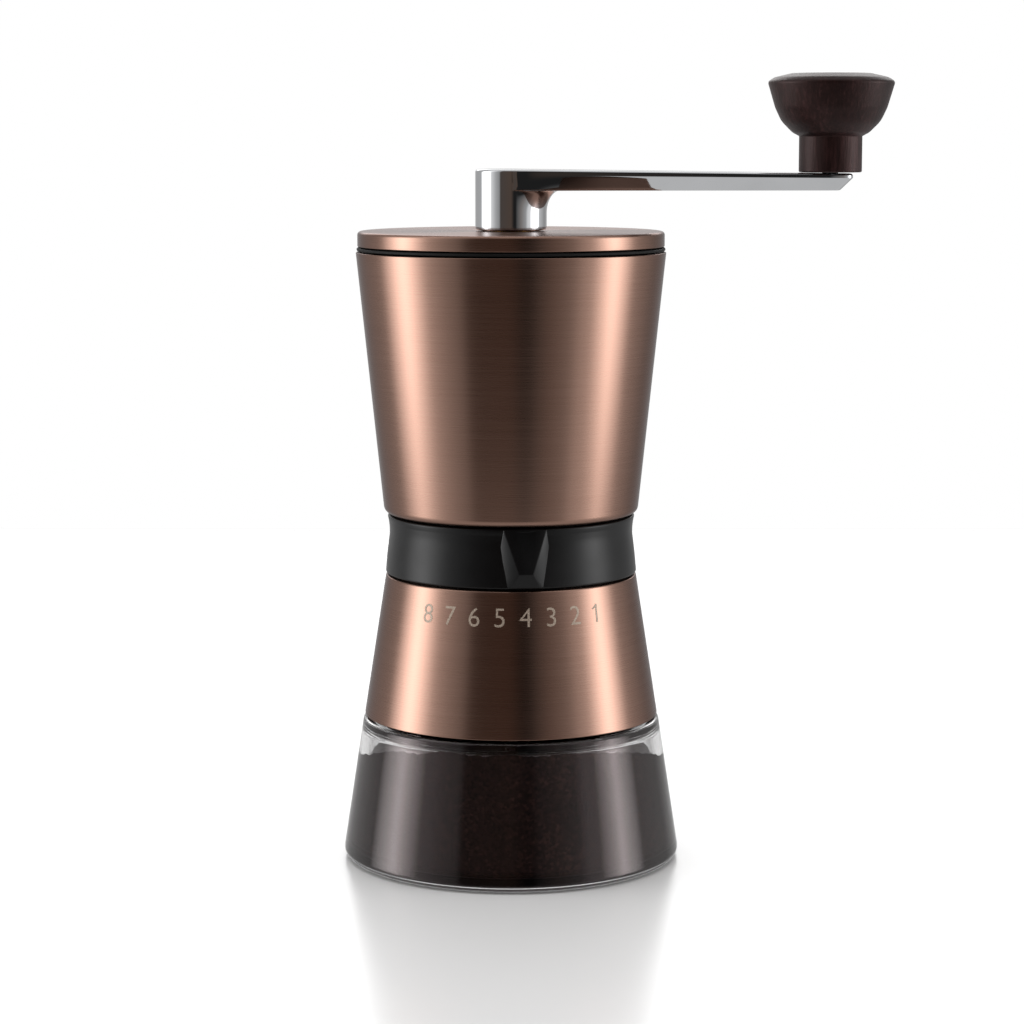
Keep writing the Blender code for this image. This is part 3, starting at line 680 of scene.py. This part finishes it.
def half_outline(height_share, inset=0.0, hub_inset=0.0):
    """Half an outline of hub and arm, from the tip's middle round to the hub's back.

    height_share is 0 at the arm's underside and 1 at its top. inset shrinks the
    arm and hub_inset the hub. The sides lean in by the draft, which grows from
    nothing where the arm leaves the hub.
    """
    lean = DRAFT * (1 - height_share)
    tip_x = TIP_X_TOP - TIP_DRAFT * (1 - height_share) - inset
    slope = (HUB_R - TIP_HALF_TOP) / KNOB_X
    bend = max(CORNER - inset, 0.5)

    def side_y(x):
        return HUB_R - slope * x - inset - lean * ease(x, LEAN_NONE_X, LEAN_FULL_X)

    corner_half = side_y(tip_x)
    points = [(tip_x, (corner_half - bend) * i / 4) for i in range(5)]
    for i in range(1, TIP_COUNT):
        a = math.pi / 2 * i / TIP_COUNT
        points.append((tip_x - bend + bend * math.cos(a), corner_half - bend + bend * math.sin(a)))
    for i in range(SIDE_COUNT + 1):
        x = tip_x - bend + (JOIN_X - tip_x + bend) * i / SIDE_COUNT
        points.append((x, side_y(x)))
    start = math.atan2(side_y(JOIN_X), JOIN_X)
    hub_r = HUB_R - hub_inset
    for i in range(1, HUB_COUNT + 1):
        a = start + (math.pi - start) * (i / HUB_COUNT)
        r = hub_r
        if a < math.pi / 2:
            x = hub_r
            for _ in range(12):
                x = side_y(x) / math.tan(a)
                x = min(x, JOIN_X)
            side_r = math.hypot(x, side_y(x))
            r = max(hub_r, side_r) if a > math.radians(84) else blend_max(hub_r, side_r, 0.5)
        points.append((r * math.cos(a), r * math.sin(a)))
    return points


def short_outline(reach):
    """Half an outline of the hub with the foot of the fillet standing out by reach."""
    long = half_outline(0)
    points = []
    for i, (x, y) in enumerate(long):
        tip_end = len(long) - HUB_COUNT
        join_a = math.atan2(long[tip_end][1], long[tip_end][0])
        a = join_a * i / tip_end if i < tip_end else math.atan2(y, x)
        spread = 1 - ease(math.degrees(a), SPREAD_FULL, SPREAD_NONE)
        r = min(HUB_R + reach * spread, math.hypot(x, y))
        points.append((r * math.cos(a), r * math.sin(a)))
    return points


def whole(half, z):
    """Mirror half an outline and set it at height z; the arm's top falls with x."""
    points = half + [(x, -y) for x, y in reversed(half[1:-1])]
    share = max(0.0, (z - ARM_UNDER) / (ARM_TOP - ARM_UNDER))
    return [Vector((x, y, z - ARM_FALL * max(x, 0) * share)) * MM for x, y in points]


# %% Stack the outlines
levels = []
round_half = short_outline(0)
chamfer = 0.3
small_half = [(x * (HUB_R - chamfer) / HUB_R, y * (HUB_R - chamfer) / HUB_R)
              for x, y in round_half]
levels.append(whole(small_half, HUB_LOW))
levels.append(whole(round_half, HUB_LOW + chamfer))
fillet_low = ARM_UNDER - FILLET_RISE
for i in range(FILLET_STEPS + 1):
    a = math.pi / 2 * i / FILLET_STEPS
    reach = FILLET_REACH - FILLET_REACH * math.cos(a)
    levels.append(whole(short_outline(reach), fillet_low + FILLET_RISE * math.sin(a)))
UNDER_EDGE, TOP_EDGE, STRAIGHT = 0.35, 0.8, 1.4
for i in range(4):
    a = math.pi / 2 * i / 3
    inset = UNDER_EDGE * (1 - math.sin(a))
    rise = UNDER_EDGE * (1 - math.cos(a))
    share = rise / (ARM_TOP - STRAIGHT - ARM_UNDER)
    levels.append(whole(half_outline(share, inset), ARM_UNDER + rise))
draft_top = ARM_TOP - STRAIGHT
for i in range(1, 7):
    z = ARM_UNDER + UNDER_EDGE + (draft_top - ARM_UNDER - UNDER_EDGE) * i / 6
    levels.append(whole(half_outline((z - ARM_UNDER) / (draft_top - ARM_UNDER)), z))
levels.append(whole(half_outline(1), draft_top + 0.1))
levels.append(whole(half_outline(1), ARM_TOP - TOP_EDGE))
for i in range(1, 9):
    a = math.pi / 2 * i / 8
    z = ARM_TOP - TOP_EDGE + TOP_EDGE * math.sin(a)
    edge = TOP_EDGE * (1 - math.cos(a))
    levels.append(whole(half_outline(1, edge, edge), z))

nothing_selected()
bpy.ops.mesh.primitive_circle_add(vertices=len(levels[0]), radius=HUB_R * MM, fill_type="NGON")
crank_arm = bpy.context.object
crank_arm.name = crank_arm.data.name = "crank_arm_fine"
for vertex, point in zip(crank_arm.data.vertices, levels[0]):
    vertex.co = point
bpy.ops.object.mode_set(mode="EDIT")
bpy.ops.mesh.select_all(action="SELECT")
bpy.ops.mesh.delete(type="ONLY_FACE")
bpy.ops.mesh.select_all(action="SELECT")
bpy.ops.mesh.edge_face_add()
for low_level, level in zip(levels, levels[1:]):
    bpy.ops.mesh.extrude_region_move(TRANSFORM_OT_translate={"value": (0, 0, 0)})
    bm = bmesh.from_edit_mesh(crank_arm.data)
    found = {tuple(round(c, 7) for c in point): i for i, point in enumerate(low_level)}
    for vertex in (v for v in bm.verts if v.select):
        vertex.co = level[found[tuple(round(c, 7) for c in vertex.co)]]
    bmesh.update_edit_mesh(crank_arm.data)
bpy.ops.mesh.select_all(action="SELECT")
bpy.ops.mesh.normals_make_consistent(inside=False)
bpy.ops.object.mode_set(mode="OBJECT")
smooth(crank_arm, 35)
settle(crank_arm, "crank", "polished_steel", CHROME, "crank_arm")
print("crank faces:", len(crank_arm.data.polygons))

# %% [markdown]
# ## The knob
#
# A bowl-shaped knob with a flat crown, turned with its stem from one blank. The
# stem ends a hair above the arm, so that no light shows under it.

# %% Knob
stem_r = 7.9
STEM_LOW = KNOB_LOW - 0.6
BORE_R, CAP_SEAT_R, FOOT_SEAT_R = 4.5, 5.3, 5.9
cap_seat, foot_seat = KNOB_TOP - 3.1, KNOB_LOW + 1.1
knob = lathe("knob_fine", [
    (CAP_SEAT_R, KNOB_TOP, 0.1), (10.0, KNOB_TOP, 1.5), (14.3, 198.3, 3.0), (KNOB_R, 197.2, 0.9),
    (14.0, 190.8, 8.0), (12.4, 187.4, 7.0), (9.6, 184.6, 4.0), (stem_r, 183.7, 0.25),
    (stem_r, STEM_LOW, 0.4), (FOOT_SEAT_R, STEM_LOW, 0.2), (FOOT_SEAT_R, foot_seat, 0),
    (BORE_R, foot_seat, 0), (BORE_R, cap_seat, 0), (CAP_SEAT_R, cap_seat, 0)], x=KNOB_X)
settle(knob, "knob", "dark_wood", BEECH, "knob")
cap_low, cap_top, cap_r = turned_size("knob_cap")
knob_cap = lathe("knob_cap_fine", [(0, cap_top, 0), (cap_r, cap_top, 0.3), (cap_r, cap_low, 0.2),
                                   (0, cap_low, 0)], x=KNOB_X, ring=False)
settle(knob_cap, "knob", "dark_wood", BEECH, "knob_cap")

# %% [markdown]
# ## The glass jar
#
# The jar is pressed in a mould: a thick floor, walls that lean in, a flat
# shoulder and a threaded neck that disappears into the skirt. Glass shows both
# of its surfaces, so the inside is drawn as carefully as the outside, with
# generous curves in the corners where molten glass can't go sharp.

# %% Glass jar
JAR_SHOULDER_Z, JAR_SHOULDER_R = 36.3, 37.8
NECK_R, NECK_IN_R = 31.0, 28.0
FLOOR_Z, CEILING_Z = 2.4, 33.6
WALL = 2.3
jar = lathe("glass_jar_fine", [
    (0, FLOOR_Z, 0), (JAR_R - WALL, FLOOR_Z, 4.5), (JAR_SHOULDER_R - WALL, CEILING_Z, 2.4),
    (NECK_IN_R, CEILING_Z + 1.0, 2.5), (NECK_IN_R, JAR_TOP, 0.9), (NECK_R, JAR_TOP, 0.9),
    (NECK_R, JAR_SHOULDER_Z, 0.8), (JAR_SHOULDER_R, JAR_SHOULDER_Z, 1.1),
    (JAR_R + 0.35, 0, 2.2), (36.5, 0, 1.5), (35.5, 0.3, 1.5), (0, 0.3, 0)], ring=False)
settle(jar, "jar", "clear_glass", GLASS, "glass_jar")

# %% [markdown]
# ## The grounds
#
# Coffee falls from the burrs in the middle and heaps up, so its top is highest
# under the burrs. Towards two sides, along X, it sinks a few millimetres. The
# heap is spun like the jar, then its top is pushed about with noise. It is
# pressed a hair into the glass, because coffee that touches glass shows dark
# right up to it.

# %% Ground coffee
PRESSED = 0.06              # how far the heap goes into the glass
STILL_DEPTH = 8.0           # the heap keeps the jar's shape up to this height over its floor
SINK, HEAP = 6.5, 2.5
WALL_LEVELS, TOP_RINGS = 12, 25


def grounds():
    low_r, top_r = JAR_R - WALL + PRESSED, JAR_SHOULDER_R - WALL + PRESSED
    bottom_z, top_z, still_z = FLOOR_Z - PRESSED, CEILING_Z - 0.8, FLOOR_Z + STILL_DEPTH

    def glass_r(z):
        return line(z, (low_r, FLOOR_Z), (top_r, CEILING_Z))

    profile = [(0, bottom_z, 0), (low_r, bottom_z, 4.4)]
    for i in range(1, WALL_LEVELS + 1):
        z = bottom_z + (top_z - bottom_z) * i / WALL_LEVELS
        profile.append((glass_r(z), z, 0))
    for i in range(1, TOP_RINGS + 1):
        profile.append((glass_r(top_z) * (1 - i / TOP_RINGS), top_z, 0))
    heap = lathe("coffee_grounds", profile, steps=220, ring=False)
    for vertex in heap.data.vertices:
        x, y, z = vertex.co / MM
        if z <= still_z:
            continue
        r, a = math.hypot(x, y), math.atan2(y, x)
        on_top = z > top_z - 0.01
        sink = SINK * abs(math.cos(a)) ** 5 + 0.9 * noise.noise(Vector((x, y, 0)) * 0.09)
        share = (z - still_z) / (top_z - still_z)
        lift = HEAP * max(0.0, 1 - r / top_r) if on_top else 0
        new_z = z + share * (lift - sink * min(1.0, (r / top_r) ** 2))
        if r > 30 and abs(z - new_z) > 0.01:
            follow = glass_r(new_z) / glass_r(z)
            x, y = x * follow, y * follow
        if on_top:
            new_z += 0.5 * noise.noise(Vector((x, y, 3)) * 0.8)
        vertex.co = Vector((x, y, new_z)) * MM
    return heap


coffee = settle(grounds(), "jar", "dark_wood", COFFEE)

# %% [markdown]
# ## Inside pieces
#
# The liners, bushes, burrs and screws show when the lid is off or the jar is
# down. Their solids already have the right shape, so each is copied, its
# loose triangles are merged and it is shaded smooth. The burr spring is pressed
# between the housing and the carrier, so it is fixed to neither of those bodies.

# %% Smooth copies of the inside pieces
SLOT_FINISH = {"black_plastic": LINER_ABS, "rubber": SILICONE, "machined_steel": TURNED_STEEL,
               "ceramic": CERAMIC, "bronze": BRONZE}
slot_of = {part["node"]: part["material_slot"] for part in frame["record"]["subparts"]}
body_of = {node: body for body, nodes in frame["record"]["behaviour"]["bodies"].items()
           for node in nodes}
remade = {"hopper_shell", "lid_shell", "lid_seal", "skirt_shell", "adjust_ring", "crank_arm",
          "knob", "knob_cap", "glass_jar"}
for name, solid in frame["nodes"].items():
    if name in remade:
        continue
    piece = solid.copy()
    piece.data = solid.data.copy()
    piece.name = piece.data.name = f"{name}_fine"
    piece.parent = None
    bpy.context.scene.collection.objects.link(piece)
    nothing_selected()
    piece.select_set(True)
    bpy.context.view_layer.objects.active = piece
    bpy.ops.object.mode_set(mode="EDIT")
    bpy.ops.mesh.select_all(action="SELECT")
    bpy.ops.mesh.remove_doubles(threshold=0.000002)
    bpy.ops.object.mode_set(mode="OBJECT")
    smooth(piece, 30)
    bends = name == "burr_spring"
    settle(piece, None if bends else body_of[name], slot_of[name],
           SLOT_FINISH[slot_of[name]], name)
    if bends:
        low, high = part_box(name)
        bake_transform(piece)

# %% [markdown]
# ## Floor, light and camera
#
# The grinder stands on glossy white acrylic. A polished thing shows its
# studio, so the studio is designed as a picture: dark in front with one fine
# black line in it, a soft box on each side, and grey behind with a raised
# bright panel. A world shader paints that picture by compass direction. What
# the camera sees directly, and sees through the glass, is plain white. One
# large soft sun overhead lights the floor evenly. The metal mirrors neither
# the floor nor the sun.

# %% Floor
FLOOR_HALF = 0.60
FLOOR_Z_M = -0.0002         # just under the jar's foot
nothing_selected()
bpy.ops.mesh.primitive_plane_add(size=2, location=(0, 0, FLOOR_Z_M))
floor = bpy.context.object
floor.name = "floor"
floor.scale = (FLOOR_HALF, FLOOR_HALF, 1)
floor_material, tree, output = new_material("white_acrylic")
shader = add(tree, "ShaderNodeBsdfPrincipled",
             {"Base Color": (0.88, 0.88, 0.88, 1), "Roughness": 0.26, "IOR": 1.7})
tree.links.new(shader.outputs[0], output.inputs["Surface"])
floor.data.materials.append(floor_material)
floor.visible_glossy = False

# %% Studio light
world = bpy.data.worlds.new("studio")
bpy.context.scene.world = world
world.use_nodes = True
tree = world.node_tree
tree.nodes.clear()
direction = add(tree, "ShaderNodeTexCoord").outputs["Generated"]
axes = add(tree, "ShaderNodeSeparateXYZ", {0: direction})
towards_front = add(tree, "ShaderNodeMath", {0: axes.outputs["Y"], 1: -1.0}, operation="MULTIPLY")
compass = add(tree, "ShaderNodeMath", {0: axes.outputs["X"], 1: towards_front.outputs[0]},
              operation="ARCTAN2")
turn_share = add(tree, "ShaderNodeMath", {0: compass.outputs[0], 1: 1 / math.tau, 2: 0.5},
                 operation="MULTIPLY_ADD")


def grey(value, warmth=0.0):
    return (value * (1 + warmth), value, value * (1 - warmth / 2), 1)


def round_studio(*stops):
    """A ramp by compass direction: degrees from the front, left negative."""
    return ramp(tree, turn_share.outputs[0],
                *((0.5 + degrees / 360, colour) for degrees, colour in stops))


def height_mask(start, end):
    """0 to 1 as the direction's height goes from start to end."""
    return add(tree, "ShaderNodeMapRange",
               {"Value": axes.outputs["Z"], "From Min": start, "From Max": end},
               interpolation_type="SMOOTHSTEP").outputs[0]


BOX_GAIN, PANEL_GAIN = 4.4, 2.35
walls = round_studio(
    (-180, grey(0.6)), (-168, grey(0.6)), (-150, grey(0.5)), (-112, grey(0.6)),
    (-100, grey(1.1)), (-88, grey(2.1)), (-76, grey(1.4)), (-62, grey(0.95)),
    (-50, grey(0.60)), (-38, grey(0.40)),
    (-34, grey(0.08, 0.2)), (0, grey(0.08, 0.4)), (9, grey(0.02)), (15, grey(0.02)),
    (20, grey(0.12)), (32, grey(0.26, 0.1)), (48, grey(0.48)), (56, grey(1.0)), (66, grey(1.1)),
    (76, grey(0.95)), (84, grey(1.4)), (92, grey(0.95)), (102, grey(0.8)),
    (135, grey(0.40)), (160, grey(0.5)), (180, grey(0.6)))
box_mask = round_studio((-112, grey(0)), (-97, grey(0.6)), (-88, grey(1)), (-79, grey(0.6)),
                        (-66, grey(0)), (64, grey(0)), (75, grey(0.66)), (83, grey(1.1)),
                        (91, grey(0.66)), (104, grey(0)))
box_height = add(tree, "ShaderNodeMath", {0: height_mask(-0.40, -0.15), 1: height_mask(0.46, 0.24)},
                 operation="MULTIPLY")
boxes = add(tree, "ShaderNodeVectorMath", {0: box_mask, 3: box_height.outputs[0]},
            operation="SCALE")
lit = add(tree, "ShaderNodeVectorMath", {0: boxes.outputs[0], 1: (BOX_GAIN,) * 3, 2: walls},
          operation="MULTIPLY_ADD")
panel_turn = round_studio((-156, grey(1)), (-146, grey(0)), (146, grey(0)), (156, grey(1)))
panel_height = add(tree, "ShaderNodeMath", {0: height_mask(0.16, 0.30), 1: height_mask(0.70, 0.50)},
                   operation="MULTIPLY")
panel = add(tree, "ShaderNodeVectorMath", {0: panel_turn, 3: panel_height.outputs[0]},
            operation="SCALE")
with_panel = add(tree, "ShaderNodeVectorMath",
                 {0: panel.outputs[0], 1: (PANEL_GAIN,) * 3, 2: lit.outputs[0]},
                 operation="MULTIPLY_ADD")
with_ceiling = add(tree, "ShaderNodeMix", {0: height_mask(0.80, 0.95), 6: with_panel.outputs[0],
                                           7: grey(0.9)}, data_type="RGBA")
with_table = add(tree, "ShaderNodeMix", {0: height_mask(-0.45, -0.62), 6: with_ceiling.outputs[2],
                                         7: grey(0.72)}, data_type="RGBA")
rays = add(tree, "ShaderNodeLightPath")
unturned = add(tree, "ShaderNodeMath", {0: rays.outputs["Glossy Depth"], 1: 0.5},
               operation="LESS_THAN")
through = add(tree, "ShaderNodeMath",
              {0: rays.outputs["Is Transmission Ray"], 1: unturned.outputs[0]},
              operation="MULTIPLY")
plain = add(tree, "ShaderNodeMath", {0: rays.outputs["Is Camera Ray"], 1: through.outputs[0]},
            operation="MAXIMUM")
seen = add(tree, "ShaderNodeMix", {0: plain.outputs[0], 6: with_table.outputs[2], 7: grey(1.0)},
           data_type="RGBA")
background = add(tree, "ShaderNodeBackground", {"Color": seen.outputs[2], "Strength": 1.0})
add(tree, "ShaderNodeOutputWorld", {"Surface": background.outputs[0]})

bpy.ops.object.light_add(type="SUN", location=(0, 0, 1))
sun = bpy.context.object
sun.data.energy = 0.8
sun.data.angle = math.radians(70)
sun.visible_glossy = False

# %% Camera
CAMERA_PLACE = (0.00025, -0.7197, 0.1846)
CAMERA_TILT = 82.4          # degrees; 90 would look level
bpy.ops.object.camera_add(location=CAMERA_PLACE, rotation=(math.radians(CAMERA_TILT), 0, 0))
camera = bpy.context.object
camera.data.lens = 100
camera.data.sensor_width = 36
camera.data.clip_end = 20
bpy.context.scene.camera = camera
bpy.context.scene.view_settings.view_transform = "Standard"
